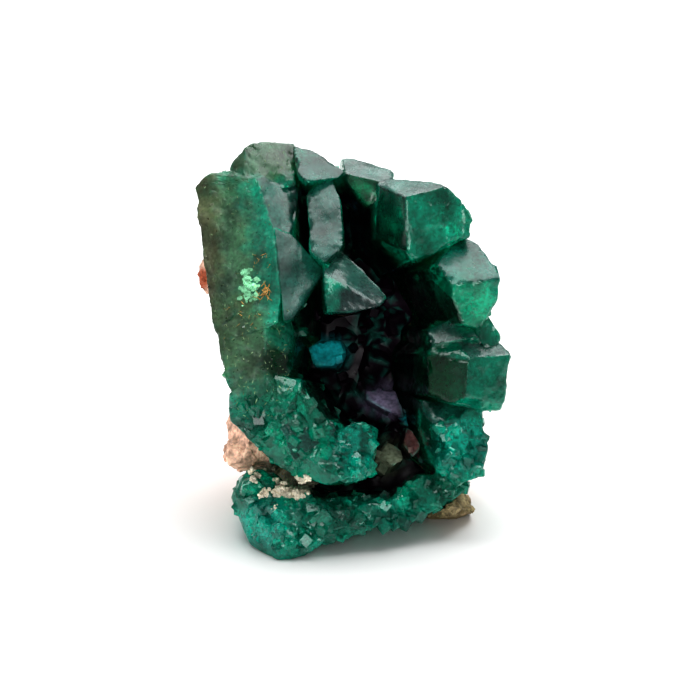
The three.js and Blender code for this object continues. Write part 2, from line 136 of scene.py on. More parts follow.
# Relief of the crystals: edges that turn by more than this are worn and chipped, and facets swell a little
SHARP_TURN = math.radians(14)
CREASE_TURN = math.radians(24)
LEAST_WEAR = 0.25
MORE_WEAR = 0.5
CHIP_DEPTH = 0.6
CHIP_RINGS = 3
STEP_HEIGHT = 0.06
STEPS_PER_UNIT = 3
STEP_STRETCH = (0.9, 0.5, 0.35)
SWELL = 0.12
DIMPLE = 0.05
GRIT = 0.035
ROUGH_ZONE = ((-12, 28), (6, 13))
EDGE_GLINT_SHARE = 0.3  # how much pale painted glint lies along the worn, chipped edges
SHADE_SPREAD = 0.35  # how much neighbouring facets differ in lightness

# Relief of the rock: steps where it broke behind, and how much painted shade darkens its pits
BREAK_HEIGHT = 0.4
BREAK_STEPS = 3
BREAK_STRETCH = (1, 1, 1.6)
ROCK_BACK = 6
PIT_SHADE = 1.3

# The base stays flat up to a small height, and the relief fades in above it
FLAT_BASE = 0.02
BASE_FADE = 0.6

# Oval zones fade out from inside their edge to a little past it
ZONE_END = 1.25
ZONE_FADE = 0.5

# Crystals that catch light in the hollow; the purple grey one is a painted reflection
HOLLOW_ZONES = (
    ((-2.4, 20.7), (2.1, 1.6), HOLLOW_TEAL, 1.0),
    ((3.4, 15.8), (2.2, 1.7), PURPLE_GREY_SHEEN, 1.0),
    ((6.2, 14.1), (0.8, 0.8), HOLLOW_TEAL, 0.9),
    ((6.6, 11.7), (1.2, 1.6), MAROON, 1.0),
    ((3.8, 10.2), (1.8, 1.9), HOLLOW_OLIVE, 1.0),
)

# Facets with a tone of their own, each named by a point on it: frosted grey above, with a painted reflection
# of the light overhead, and near black beside the hollow, which is painted shade
FACET_SHEEN_AND_SHADE = (
    ((-6.9, 35), SLATE_SHEEN), ((-5, 28.4), SLATE_SHEEN), ((-2.4, 34), SLATE_SHEEN), ((-3, 39.8), SLATE_SHEEN), ((1.4, 39.2), SLATE_SHEEN),
    ((5.4, 37.6), PALE_SLATE_SHEEN), ((11, 30), DULL_TEAL), ((14, 20.9), PALE_SLATE_SHEEN), ((9.4, 14.4), SLATE_SHEEN),
    ((2.9, 26.2), PALE_SLATE_SHEEN), ((10, 22.8), SLATE_SHEEN), ((-4.5, 12.4), SLATE_SHEEN),
    ((4.4, 33.6), SHADE_GREEN), ((8.8, 27), SHADE_GREEN),
    ((9.6, 18.3), DEEP_GREEN), ((1.5, 36.8), DEEP_GREEN),
)
TONE_SHARE = 0.75
FACET_TURN = math.radians(3)
FACET_LEVEL = 0.08
FACET_REACH = 6
TONED_ROUGHNESS = 0.3
TONED_STEPS = 0.4
TONED_MATT = 0.3

# Small crystals strewn over parts of the face: from and to, number, and their least and greatest radius
DRUSE_FIELDS = (
    ((-12, 0.2), (12.6, 8), 300, (0.3, 0.9)),
    ((-11, 8.4), (2.4, 16.5), 130, (0.3, 0.9)),
    ((8.4, 7.8), (13.6, 13), 60, (0.3, 0.8)),
    ((-12.5, 15), (-6, 24), 60, (0.08, 0.22)),
    ((-16, 24), (-8, 38), 60, (0.06, 0.16)),
)
SIDE_DRUSE = (700, (0.16, 0.6))
HOLLOW_DRUSE = ((-4.2, 8), (7.6, 36.5), 70, (0.3, 0.8))

# Grains of the rock: number all over it, and fields of pale ones that lie on the crystals
ROCK_GRAINS = (2600, (0.12, 0.42))
HEAP_STEP = (0.3, 0.3, 0.2)  # across, towards the viewer and up
HEAP_FRONT = -7.4
CRUMB_SPREAD = (0.7, 1.15)
ANY_TURN = 6.3  # a full turn
NEARLY_ALL = 0.9999
CREAM_FIELDS = (
    ((-7.6, 6.4), (-3.6, 8.6), 420, (0.18, 0.42)),
    ((-9.9, 7.8), (-9, 8.9), 16, (0.1, 0.26)),
    ((-8.9, 6.4), (-8, 7.3), 14, (0.1, 0.26)),
    ((-7.9, 5), (-7.1, 5.8), 10, (0.08, 0.22)),
)

# Flakes and fibres on the left crystal
MINT_FIELD = ((-11.3, 25.2), (-9, 29.4), 60, (0.1, 0.5))
FIBRE_FIELDS = (
    ((-9.3, 26), (-8, 27.5), 34, (0.03, 0.06)),
    ((-9.9, 29.2), (-8, 30.6), 12, (0.02, 0.04)),
    ((-12.5, 22), (-9, 26), 16, (0.02, 0.04)),
)

# Pale flecks on the rough skin of the left crystals
FLECK_FIELDS = (
    ((-16, 24), (-8, 38.6), 130, (0.015, 0.035)),
    ((-12.6, 14), (-6, 25), 150, (0.02, 0.045)),
    ((-11, 38), (-6, 42), 40, (0.015, 0.03)),
)

# Stains all over the rock: colour, size, a number that sets where they lie, and how rare they are
ROCK_STAINS = ((TAN, 5, 17, 0.12), (CREAM, 3, 19, 0.15), (RUST, 1.8, 18, 0.3))
STAIN_SHARE = 0.7
STAIN_FADE = 0.25
STAINS_FROM = 4
STAINS_FADE = 4

# Stains of the rock where it comes into view
ROCK_ZONES = (
    ((-15.1, 28.2), (0.9, 1.2), RUST, 0.9),
    ((-6, 7.6), (3.4, 2), CREAM, 1.0),
    ((9.6, 5.2), (4.2, 2.4), TAN, 1.0),
)


def on_face(points):
    """Points of the frame, in metres, on the face's own axes, in millimetres."""
    matrix = np.array(TO_FACE)
    return points @ matrix[:3, :3].T + matrix[:3, 3]


def turned_to_face(ways):
    """Directions of the frame on the face's own axes."""
    return unit(ways @ np.array(TO_FACE)[:3, :3].T)


def lumps(points, size, seed):
    """Smooth noise from -1 to 1, with lumps about that many millimetres across."""
    away = Vector((seed * 17.3, seed * -9.1, seed * 5.7))
    return np.array([noise.noise(Vector(point) / size + away) for point in points])


def edges_of(triangles):
    """The pairs of points that edges join, and for each triangle's three edges which pair it is."""
    pairs = np.concatenate((triangles[:, [0, 1]], triangles[:, [1, 2]], triangles[:, [2, 0]]))
    edges, which = np.unique(np.sort(pairs, axis=1), axis=0, return_inverse=True)
    return edges, which.reshape(3, -1).T


def turned(rows, steps):
    """Each row of three with its start moved along by its own number of steps."""
    return np.take_along_axis(rows, (steps[:, None] + np.arange(3)) % 3, axis=1)


def coarseness(points, triangles):
    """1 for each triangle that looks towards the viewer, and more for one that looks away or lies deep."""
    ways, _ = normals_of(points, triangles)
    away = turned_to_face(ways)[:, 1] > LOOKS_AWAY
    deep = on_face(points[triangles[:, 0]])[:, 1] > DEEP
    return np.where(away | deep, HIDDEN_COARSENESS, 1)


def split_once(points, triangles, facets, longest):
    """The triangles with each edge that is too long cut at its middle, and whether any was."""
    edges, which = edges_of(triangles)
    ends = points[edges]
    allowed = np.full(len(edges), np.inf)
    for side in which.T:
        np.minimum.at(allowed, side, longest * coarseness(points, triangles))
    too_long = np.linalg.norm(ends[:, 0] - ends[:, 1], axis=1) > allowed
    middle_of = np.full(len(edges), -1)
    middle_of[too_long] = len(points) + np.arange(too_long.sum())
    points = np.concatenate((points, ends[too_long].mean(axis=1)))
    middles = middle_of[which]
    cuts = (middles >= 0).sum(axis=1)
    made = [triangles[cuts == 0]]
    numbers = [facets[cuts == 0]]

    one = cuts == 1
    steps = np.argmax(middles[one] >= 0, axis=1)
    a, b, c = turned(triangles[one], steps).T
    ab = turned(middles[one], steps)[:, 0]
    made += [np.column_stack((a, ab, c)), np.column_stack((ab, b, c))]
    numbers += [facets[one]] * 2

    two = cuts == 2
    steps = np.argmin(middles[two] >= 0, axis=1) + 1
    a, b, c = turned(triangles[two], steps).T
    ab, bc, _ = turned(middles[two], steps).T
    from_c = np.linalg.norm(points[ab] - points[c], axis=1)
    from_a = np.linalg.norm(points[a] - points[bc], axis=1)
    across = (from_c < from_a)[:, None]
    made += [
        np.column_stack((ab, b, bc)),
        np.where(across, np.column_stack((a, ab, c)), np.column_stack((a, ab, bc))),
        np.where(across, np.column_stack((ab, bc, c)), np.column_stack((a, bc, c))),
    ]
    numbers += [facets[two]] * 3

    three = cuts == 3
    a, b, c = triangles[three].T
    ab, bc, ca = middles[three].T
    corners = ((a, ab, ca), (ab, b, bc), (ca, bc, c), (ab, bc, ca))
    made += [np.column_stack(corner) for corner in corners]
    numbers += [facets[three]] * 4
    return points, np.concatenate(made), np.concatenate(numbers), too_long.any()


def dense_copy(node, longest):
    """A CAD solid's points and triangles with its flat facets cut small, and each triangle's facet number."""
    solid = bmesh.new()
    solid.from_mesh(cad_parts[node].data)
    bmesh.ops.remove_doubles(solid, verts=solid.verts, dist=SAME_POINT * MM)
    bmesh.ops.dissolve_limit(solid, angle_limit=SAME_FACET, verts=solid.verts, edges=solid.edges)
    number = solid.faces.layers.int.new("facet")
    for count, facet in enumerate(solid.faces):
        facet[number] = count
    bmesh.ops.triangulate(solid, faces=solid.faces)
    solid.verts.index_update()
    points = np.array([vert.co for vert in solid.verts])
    triangles = np.array([[vert.index for vert in face.verts] for face in solid.faces])
    facets = np.array([face[number] for face in solid.faces])
    solid.free()
    unfinished = True
    while unfinished:
        points, triangles, facets, unfinished = split_once(points, triangles, facets, longest * MM)
    return points, triangles, facets


def normals_of(points, triangles):
    """The way that each triangle faces, and the mean way at each point."""
    a, b, c = points[triangles.T]
    ways = np.cross(b - a, c - a)
    at_points = np.zeros_like(points)
    for corner in triangles.T:
        np.add.at(at_points, corner, ways)
    return unit(ways), unit(at_points)


def unit(rows):
    """Each row made one long."""
    return rows / np.maximum(np.linalg.norm(rows, axis=1), 1e-12)[:, None]


def sharp_points(points, triangles, turn):
    """True for each point on an edge that turns by more than that angle."""
    edges, which = edges_of(triangles)
    ways, _ = normals_of(points, triangles)
    together = np.zeros((len(edges), 3))
    for side in which.T:
        np.add.at(together, side, ways)
    bent = np.linalg.norm(together, axis=1) < 2 * math.cos(turn / 2)
    sharp = np.zeros(len(points), bool)
    sharp[edges[bent].ravel()] = True
    return sharp


def neighbours_mean(points, edges):
    """The mean of the points that each point is joined to."""
    total = np.zeros_like(points)
    count = np.zeros(len(points))
    for a, b in (edges.T, edges.T[::-1]):
        np.add.at(total, a, points[b])
        np.add.at(count, a, 1)
    return total / count[:, None]


def worn(points, edges, sharp, seed):
    """The points with their sharp edges worn and chipped, more in some places than in others."""
    wear = LEAST_WEAR + MORE_WEAR * np.clip(lumps(points / MM, size=0.9, seed=seed) + 0.1, 0, 1)
    pulled = neighbours_mean(points, edges)
    moved = points.copy()
    moved[sharp] += ((pulled - points) * wear[:, None])[sharp]
    return moved


def chips(face_points, edges, sharp):
    """How deep the edges are chipped, fading out a little way from them."""
    near = sharp.astype(float)[:, None]
    for _ in range(CHIP_RINGS):
        near = np.maximum(near, neighbours_mean(near, edges))
    return CHIP_DEPTH * near[:, 0] * np.clip(lumps(face_points, size=1.6, seed=31) - 0.1, 0, 1)


def off_ground(points):
    """From 0 on the flat base to 1 a little above it, so that the base stays flat."""
    return np.clip((points[:, 2] / MM - FLAT_BASE) / BASE_FADE, 0, 1)


def zone_share(face_points, middle, reach, ragged):
    """How far each point lies in an oval zone of the face, from 0 outside to 1 inside."""
    away = (face_points[:, [0, 2]] - middle) / reach
    distance = np.hypot(away[:, 0], away[:, 1]) + ragged
    return np.clip((ZONE_END - distance) / ZONE_FADE, 0, 1)


def tinted(face_points, ground, zones):
    """The colour at each point: the ground colour, stained by the zones."""
    colours = np.tile(ground, (len(face_points), 1))
    ragged = 0.3 * lumps(face_points, size=1.4, seed=3) + 0.15 * lumps(face_points, size=0.5, seed=4)
    for middle, reach, colour, strength in zones:
        share = strength * zone_share(face_points, middle, reach, ragged)[:, None]
        colours = colours * (1 - share) + colour * share
    return colours


def store_value(mesh, name, values):
    """Keeps a number for each point of the mesh, for the shaders to read."""
    mesh.attributes.new(name, "FLOAT", "POINT").data.foreach_set("value", values)


def store_colour(mesh, name, colours):
    """Keeps a colour for each point of the mesh, for the shaders to read."""
    layer = mesh.color_attributes.new(name, "FLOAT_COLOR", "POINT")
    layer.data.foreach_set("color", np.column_stack((colours, np.ones(len(colours)))).ravel())


def piece(name, mesh, material, slot, *nodes):
    """A mesh as a piece of the object, which stands for those CAD nodes."""
    made = bpy.data.objects.new(name, mesh)
    bpy.context.scene.collection.objects.link(made)
    mesh.materials.clear()
    mesh.materials.append(material)
    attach(made, "root")
    if nodes:
        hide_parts(*nodes)
    return made


def finished_mesh(name, points, triangles):
    """A mesh of those points and triangles, smooth but for its sharp edges."""
    mesh = bpy.data.meshes.new(name)
    mesh.from_pydata(points, [], triangles)
    mesh.shade_smooth()
    mesh.set_sharp_from_angle(angle=CREASE_TURN)
    mesh.update()
    return mesh


def facet_shades(points, triangles, facets):
    """A lightness for each facet, kept for each point, so that neighbouring facets differ a little."""
    along = [Vector((facet * 0.731, 0.37, 0.11)) for facet in range(facets.max() + 1)]
    shade = np.array([1 + SHADE_SPREAD * noise.noise(place) for place in along])
    shades = np.ones(len(points))
    for corner in triangles.T:
        shades[corner] = shade[facets]
    return shades


def facet_points(seen, points, triangles, ways, at):
    """True for each point of the flat facet that the viewer sees at that place of the face."""
    _, way, first, _ = seen.ray_cast(*line_of_sight(*at))
    level = (points[triangles[:, 0]] - points[triangles[first, 0]]) @ np.array(way)
    flat = (ways @ np.array(way) > math.cos(FACET_TURN)) & (np.abs(level) < FACET_LEVEL * MM)
    chosen = np.zeros(len(points), bool)
    chosen[triangles[flat].ravel()] = True
    near = np.linalg.norm(on_face(points)[:, [0, 2]] - at, axis=1) < FACET_REACH
    return chosen & near


def sight(points, triangles):
    """The surface as something that can be looked at."""
    return BVHTree.FromPolygons(points.tolist(), triangles.tolist())


def line_of_sight(x, z):
    """A point in front of that place of the face, and the way to it."""
    well_in_front = -60
    start = FROM_FACE @ Vector((x, well_in_front, z))
    return start, (FROM_FACE @ Vector((x, 0, z)) - start).normalized()


def with_hollow_shade(colours, face_points, face_normals):
    """The colours with painted shade: nearly black where crystals line the hollow, and dark on the sides that
    look into it.
    """
    ragged = 0.15 * lumps(face_points, size=1.5, seed=9)
    open_part = face_points[:, 1] < HOLLOW_BOTTOM
    for middle, reach, depth in SHADED_PLACES:
        dark = zone_share(face_points, middle, reach, ragged)
        dark *= np.clip((face_points[:, 1] - depth) / SHADE_FADE, 0, 1) * open_part
        colours = colours * (1 - dark[:, None]) + HOLLOW_BLACK_AND_SHADE * dark[:, None]
    axis = np.zeros_like(face_points)
    axis[:, 0] = HOLLOW_MIDDLE[0]
    axis[:, 1] = face_points[:, 1]
    lowest = HOLLOW_MIDDLE[1] - HOLLOW_HALF_HEIGHT
    highest = HOLLOW_MIDDLE[1] + HOLLOW_HALF_HEIGHT
    axis[:, 2] = np.clip(face_points[:, 2], lowest, highest)
    inward = (unit(axis - face_points) * face_normals).sum(axis=1)
    near = zone_share(face_points, HOLLOW_MIDDLE, HOLLOW_RIM, 0)
    shut = SHADE * near * np.clip((inward - INWARD_FROM) / INWARD_FADE, 0, 1) * open_part
    return colours * (1 - shut[:, None]) + SHADE_GREEN * shut[:, None]


def crystal_piece(node, name, material, slot, ground, zones, longest, toned):
    """A cluster of crystals with worn edges and a slight relief on its facets."""
    points, triangles, facets = dense_copy(node, longest)
    ways, normals = normals_of(points, triangles)
    sharp = sharp_points(points, triangles, SHARP_TURN)
    face_points = on_face(points)
    colours = tinted(face_points, ground, zones) * facet_shades(points, triangles, facets)[:, None]
    # painted glint: pale teal along the sharp edges
    edge = sharp & (lumps(face_points, size=1.1, seed=8) > 0.05)
    colours[edge] = colours[edge] * (1 - EDGE_GLINT_SHARE) + GLINT_TEAL * EDGE_GLINT_SHARE
    # painted shade in the hollow and its crevices, where little light reaches
    if toned:
        colours = with_hollow_shade(colours, face_points, turned_to_face(normals))
    smooth = np.zeros(len(points), bool)
    seen = sight(points, triangles)
    # paints the listed facets: frost with painted reflection, or painted shade
    for at, colour in toned:
        chosen = facet_points(seen, points, triangles, ways, at)
        colours[chosen] = colours[chosen] * (1 - TONE_SHARE) + colour * TONE_SHARE
        smooth |= chosen

    edges, _ = edges_of(triangles)
    moved = worn(worn(points, edges, sharp, seed=1), edges, sharp, seed=14)
    rough = np.where(smooth, TONED_ROUGHNESS, 1) * (0.5 + zone_share(face_points, *ROUGH_ZONE, 0))
    swell = SWELL * lumps(face_points, size=3, seed=5)
    swell += DIMPLE * rough * lumps(face_points, size=0.8, seed=6)
    swell += GRIT * rough * lumps(face_points, size=0.35, seed=7)
    swell += ledges(face_points) * np.where(smooth, TONED_STEPS, 1)
    swell -= chips(face_points, edges, sharp)
    moved += normals * (MM * swell * off_ground(points))[:, None]
    mesh = finished_mesh(name, moved, triangles)
    store_colour(mesh, "tint", colours)
    matt = np.maximum(np.where(smooth, TONED_MATT, 0), zone_share(face_points, *ROUGH_ZONE, 0))
    store_value(mesh, "matt", matt)
    piece(name, mesh, material, slot, node)
    return moved, triangles


def ledges(face_points):
    """Low growth steps, which run along the crystals."""
    height = 0.5 + lumps(face_points * STEP_STRETCH, size=1.3, seed=21)
    return STEP_HEIGHT * np.round(height * STEPS_PER_UNIT)


def crystal_colours(face_points):
    """Emerald, with the stains and tints of the crystals."""
    return tinted(face_points, EMERALD, CRYSTAL_ZONES)


def hollow_colours(face_points):
    """Nearly black, the hollow's dark crystals with painted shade, but for the crystals that catch light."""
    return tinted(face_points, HOLLOW_BLACK_AND_SHADE, HOLLOW_ZONES)


def rock_colours(face_points):
    """Peach, with stains all over and those that come into view."""
    colours = np.tile(PEACH, (len(face_points), 1))
    for colour, size, seed, onset in ROCK_STAINS:
        share = STAIN_SHARE * np.clip((lumps(face_points, size, seed) - onset) / STAIN_FADE, 0, 1)[:, None]
        colours = colours * (1 - share) + colour * share
    behind = np.clip((face_points[:, 1] - STAINS_FROM) / STAINS_FADE, 0, 1)[:, None]
    front = tinted(face_points, PEACH, ROCK_ZONES)
    return colours * behind + front * (1 - behind)


def one_colour(colour):
    """A colouring that is the same everywhere."""
    return lambda face_points: np.tile(colour, (len(face_points), 1))


def rock_piece(node, name, material, longest):
    """The rock, broken and granular."""
    points, triangles, _ = dense_copy(node, longest)
    _, normals = normals_of(points, triangles)
    sharp = sharp_points(points, triangles, SHARP_TURN)
    face_points = on_face(points)
    moved = worn(points, edges_of(triangles)[0], sharp, seed=2)
    slabs = lumps(face_points * BREAK_STRETCH, size=4.2, seed=15)
    broken = BREAK_HEIGHT * np.round(BREAK_STEPS * slabs) / BREAK_STEPS
    grain = 0.3 * lumps(face_points, size=2.4, seed=11) + 0.2 * lumps(face_points, size=0.9, seed=12)
    grain += 0.1 * lumps(face_points, size=0.4, seed=13) - 0.15
    behind = np.clip((face_points[:, 1] - ROCK_BACK) / STAINS_FADE, 0, 1)
    moved += normals * (MM * (grain + broken * behind) * off_ground(points))[:, None]
    # painted shade in the pits of the grain, and a little painted light on its bumps
    light = np.clip(1 + PIT_SHADE * (grain + 0.1), 0.35, 1.1)
    colours = rock_colours(face_points) * light[:, None]
    mesh = finished_mesh(name, moved, triangles)
    store_colour(mesh, "tint", colours)
    piece(name, mesh, material, "carbonate_rock", node)
    return moved, triangles


def six_sided_crystal(length):
    """A crystal of radius 1 with six sides and three rhombs at each end, and its faces."""
    rhomb_slope = math.radians(51)
    drop = math.tan(rhomb_slope) / 2
    points = [(0, 0, length / 2), (0, 0, -length / 2)]
    for end in (1, -1):
        for side in range(6):
            steps = 1 + (side + (end < 0)) % 2
            turn = side * math.pi / 3
            points.append((math.cos(turn), math.sin(turn), end * (length / 2 - drop * steps)))
    top = [2 + side % 6 for side in range(9)]
    bottom = [8 + side % 6 for side in range(9)]
    faces = [(0, top[k], top[k + 1], top[k + 2]) for k in (0, 2, 4)]
    faces += [(1, bottom[k + 2], bottom[k + 1], bottom[k]) for k in (1, 3, 5)]
    faces += [(bottom[k], bottom[k + 1], top[k + 1], top[k]) for k in range(6)]
    return np.array(points), faces


def small_crystal():
    """A six-sided crystal, two to three times as long as its radius."""
    return six_sided_crystal(chance.uniform(2, 3))


def crumb():
    """A broken grain of radius about 1, and its faces."""
    solid = bmesh.new()
    bmesh.ops.create_icosphere(solid, subdivisions=1, radius=1)
    solid.verts.index_update()
    points = np.array([vert.co * chance.uniform(*CRUMB_SPREAD) for vert in solid.verts])
    faces = [tuple(vert.index for vert in face.verts) for face in solid.faces]
    solid.free()
    return points, faces


def seats_on_face(surface, start, end, number, draw=chance.uniform):
    """Places of that field of the face on what the viewer sees there, and the way out of each."""
    seats = []
    for _ in range(number):
        x = draw(start[0], end[0])
        z = draw(start[1], end[1])
        place, way, _, _ = surface.ray_cast(*line_of_sight(x, z))
        if place is not None:
            seats.append((place, way))
    return seats


def heaped(seats, number):
    """Seats with more of them piled on, each touching one that is there, towards the viewer."""
    across, forward, up = HEAP_STEP
    pile = list(seats)
    for _ in range(number):
        place, way = chance.choice(pile)
        step = Vector((
            chance.uniform(-across, across),
            -chance.uniform(0, forward),
            chance.uniform(-up, up),
        ))
        moved = place + FROM_FACE.to_3x3() @ step
        if (TO_FACE @ moved).y > HEAP_FRONT:
            pile.append((moved, way))
    return pile


def seats_all_round(points, triangles, number):
    """Places all over a surface, and the way out of each."""
    a, b, c = points[triangles.T]
    ways = np.cross(b - a, c - a)
    areas = np.linalg.norm(ways, axis=1)
    draws = [chance.random() * NEARLY_ALL for _ in range(number)]
    chosen = np.searchsorted(np.cumsum(areas / areas.sum()), draws)
    return [(Vector((a[i] + b[i] + c[i]) / 3), Vector(ways[i]).normalized()) for i in chosen]


def seats_on_flanks(points, triangles, number):
    """Seats on the sides and back of a surface, out of the viewer's sight."""
    seats = seats_all_round(points, triangles, number)
    inward = TO_FACE.to_3x3()
    return [(place, way) for place, way in seats if (inward @ way).normalized().y > LOOKS_AWAY]


def planted(seats, shape, radii, stretch, slant, sunk):
    """Small things seated on a surface: their points and faces, and which of them each point is of."""
    points, faces, owners = [], [], []
    count = 0
    for place, way in seats:
        base, base_faces = shape()
        radius = chance.uniform(*radii) * MM
        lean = Vector([chance.uniform(-slant, slant) for _ in range(3)])
        roll = Matrix.Rotation(chance.uniform(0, ANY_TURN), 3, "Z")
        turn = (way + lean).to_track_quat("Z", "Y").to_matrix() @ roll
        seat = np.array(place)
        placed = base * (1, 1, stretch) * radius @ np.array(turn).T + seat - np.array(way) * radius * sunk
        if placed[:, 2].min() < 0:
            continue
        points.append(placed)
        faces += [tuple(count + corner for corner in face) for face in base_faces]
        owners += [len(points) - 1] * len(base)
        count += len(base)
    return np.concatenate(points), faces, np.array(owners)


def strewn_piece(name, planting, material, slot, colouring, darkest, lightest):
    """A joined mesh of small things, each a little lighter or darker than its neighbours."""
    points, faces, owners = planting
    mesh = bpy.data.meshes.new(name)
    mesh.from_pydata(points, [], faces)
    shade = np.array([chance.uniform(darkest, lightest) for _ in range(owners.max() + 1)])[owners]
    store_colour(mesh, "tint", colouring(on_face(points)) * shade[:, None])
    piece(name, mesh, material, slot)


def joined_plantings(plantings):
    """Several plantings as one."""
    points, faces, owners = [], [], []
    count = kinds = 0
    for some_points, some_faces, some_owners in plantings:
        points.append(some_points)
        faces += [tuple(count + corner for corner in face) for face in some_faces]
        owners.append(some_owners + kinds)
        count += len(some_points)
        kinds += some_owners.max() + 1
    return np.concatenate(points), faces, np.concatenate(owners)


def new_material(name):
    """An empty node material, its nodes and its output node."""
    material = bpy.data.materials.new(name)
    material.use_nodes = True
    tree = material.node_tree
    tree.nodes.clear()
    return material, tree, tree.nodes.new("ShaderNodeOutputMaterial")


def shader_node(tree, kind, sockets, **settings):
    """A node with its settings, and a value or a link for each socket that is named."""
    made = tree.nodes.new(kind)
    for setting, value in settings.items():
        setattr(made, setting, value)
    for socket, value in sockets.items():
        if isinstance(value, bpy.types.NodeSocket):
            tree.links.new(value, made.inputs[socket])
        else:
            made.inputs[socket].default_value = value
    return made


def millimetres(tree):
    """Coordinates fixed to the object, in millimetres."""
    place = shader_node(tree, "ShaderNodeTexCoord", {}).outputs["Object"]
    sockets = {0: place, "Scale": 1 / MM}
    return shader_node(tree, "ShaderNodeVectorMath", sockets, operation="SCALE").outputs[0]


def noise_texture(tree, place, per_mm, detail):
    """Noise with that many lumps to the millimetre."""
    sockets = {"Vector": place, "Scale": per_mm, "Detail": detail}
    return shader_node(tree, "ShaderNodeTexNoise", sockets).outputs["Fac"]


def between(tree, value, low, high):
    """Noise, which mostly lies from 0.3 to 0.7, stretched from low to high."""
    sockets = {"Value": value, "From Min": 0.3, "From Max": 0.7, "To Min": low, "To Max": high}
    return shader_node(tree, "ShaderNodeMapRange", sockets).outputs[0]


def mottled(tree, place, per_mm, low, high):
    """The piece's own colour, mottled from low to high times its lightness."""
    tint = shader_node(tree, "ShaderNodeVertexColor", {}, layer_name="tint").outputs["Color"]
    clouds = between(tree, noise_texture(tree, place, per_mm, detail=4), low, high)
    speckle = between(tree, noise_texture(tree, place, per_mm=3, detail=4), low=0.66, high=1.38)
    light = shader_node(tree, "ShaderNodeMath", {0: clouds, 1: speckle}, operation="MULTIPLY").outputs[0]
    return shader_node(tree, "ShaderNodeVectorMath", {0: tint, "Scale": light}, operation="SCALE").outputs[0]


def matted(tree, place, roughness):
    """A polish that changes from place to place, and is lost where the surface is matt."""
    clouds = noise_texture(tree, place, per_mm=0.8, detail=5)
    polish = between(tree, clouds, low=roughness - 0.08, high=roughness + 0.12)
    matt = shader_node(tree, "ShaderNodeAttribute", {}, attribute_name="matt").outputs["Fac"]
    added_where_matt = 0.34
    sockets = {0: matt, 1: added_where_matt, 2: polish}
    return shader_node(tree, "ShaderNodeMath", sockets, operation="MULTIPLY_ADD").outputs[0]


def crystal_material(name, transmission, roughness, gloss, absorbed, density):
    """Glassy crystal: light goes in, and its colour is taken out on the way."""
    material, tree, output = new_material(name)
    place = millimetres(tree)
    bump = shader_node(tree, "ShaderNodeBump", {
        "Height": noise_texture(tree, place, per_mm=2.2, detail=6), "Strength": 0.25, "Distance": 0.05 * MM,
    })
    surface = shader_node(tree, "ShaderNodeBsdfPrincipled", {
        "Base Color": mottled(tree, place, per_mm=0.35, low=0.35, high=1.5),
        "Roughness": matted(tree, place, roughness),
        "Normal": bump.outputs["Normal"],
        "IOR": 1.67,
        "Specular IOR Level": gloss,
        "Transmission Weight": transmission,
    })
    inside = shader_node(tree, "ShaderNodeVolumeAbsorption", {"Color": (*absorbed, 1), "Density": density})
    tree.links.new(surface.outputs[0], output.inputs["Surface"])
    tree.links.new(inside.outputs[0], output.inputs["Volume"])
    return material


def rock_material():
    """Granular carbonate rock with a sugary grain."""
    material, tree, output = new_material("carbonate_rock")
    place = millimetres(tree)
    bump = shader_node(tree, "ShaderNodeBump", {
        "Height": noise_texture(tree, place, per_mm=3, detail=8), "Strength": 0.7, "Distance": 0.2 * MM,
    })
    surface = shader_node(tree, "ShaderNodeBsdfPrincipled", {
        "Base Color": mottled(tree, place, per_mm=0.9, low=0.6, high=1.3),
        "Roughness": between(tree, noise_texture(tree, place, per_mm=2, detail=4), low=0.6, high=0.95),
        "Normal": bump.outputs["Normal"],
    })
    tree.links.new(surface.outputs[0], output.inputs["Surface"])
    return material


def floor_material():
    """A plain pale floor."""
    material, tree, output = new_material("floor")
    place = millimetres(tree)
    light = between(tree, noise_texture(tree, place, per_mm=0.02, detail=2), low=0.84, high=0.87)
    surface = shader_node(tree, "ShaderNodeBsdfPrincipled", {"Base Color": light, "Roughness": 0.9})
    tree.links.new(surface.outputs[0], output.inputs["Surface"])
    return material


def floor_piece():
    """The floor that the stone stands on."""
    reach = 3.0
    mesh = bpy.data.meshes.new("floor")
    corners = [(-reach, -reach, 0), (reach, -reach, 0), (reach, reach, 0), (-reach, reach, 0)]
    mesh.from_pydata(corners, [], [(0, 1, 2, 3)])
    made = bpy.data.objects.new("floor", mesh)
    mesh.materials.append(floor_material())
    bpy.context.scene.collection.objects.link(made)


def softbox(name, place, size, brightness):
    """A square light of that brightness, which looks at the stone."""
    light = bpy.data.lights.new(name, "AREA")
    light.size = size
    light.energy = brightness * math.pi * size * size
    made = bpy.data.objects.new(name, light)
    made.location = place
    towards = AIM - Vector(place)
    made.rotation_euler = towards.to_track_quat("-Z", "Y").to_euler()
    bpy.context.scene.collection.objects.link(made)


def room(brightness):
    """Even light from the room."""
    world = bpy.data.worlds.new("room")
    world.use_nodes = True
    world.node_tree.nodes["Background"].inputs["Color"].default_value = (1, 1, 1, 1)
    world.node_tree.nodes["Background"].inputs["Strength"].default_value = brightness
    bpy.context.scene.world = world


def camera():
    """Looks straight at the leaning face through a long lens."""
    lens = bpy.data.cameras.new("camera")
    lens.lens = 180
    lens.sensor_width = 36
    made = bpy.data.objects.new("camera", lens)
    distance = VIEW_WIDTH * lens.lens / lens.sensor_width
    made.location = AIM + Vector((0, -math.cos(FACE_LEAN), math.sin(FACE_LEAN))) * distance
    made.rotation_euler = (math.pi / 2 - FACE_LEAN, 0, 0)
    lens.clip_start = 0.01
    bpy.context.scene.collection.objects.link(made)
    bpy.context.scene.camera = made


AIM = FROM_FACE @ Vector((0, -4, 21))  # the middle of the picture
VIEW_WIDTH = 70 * MM

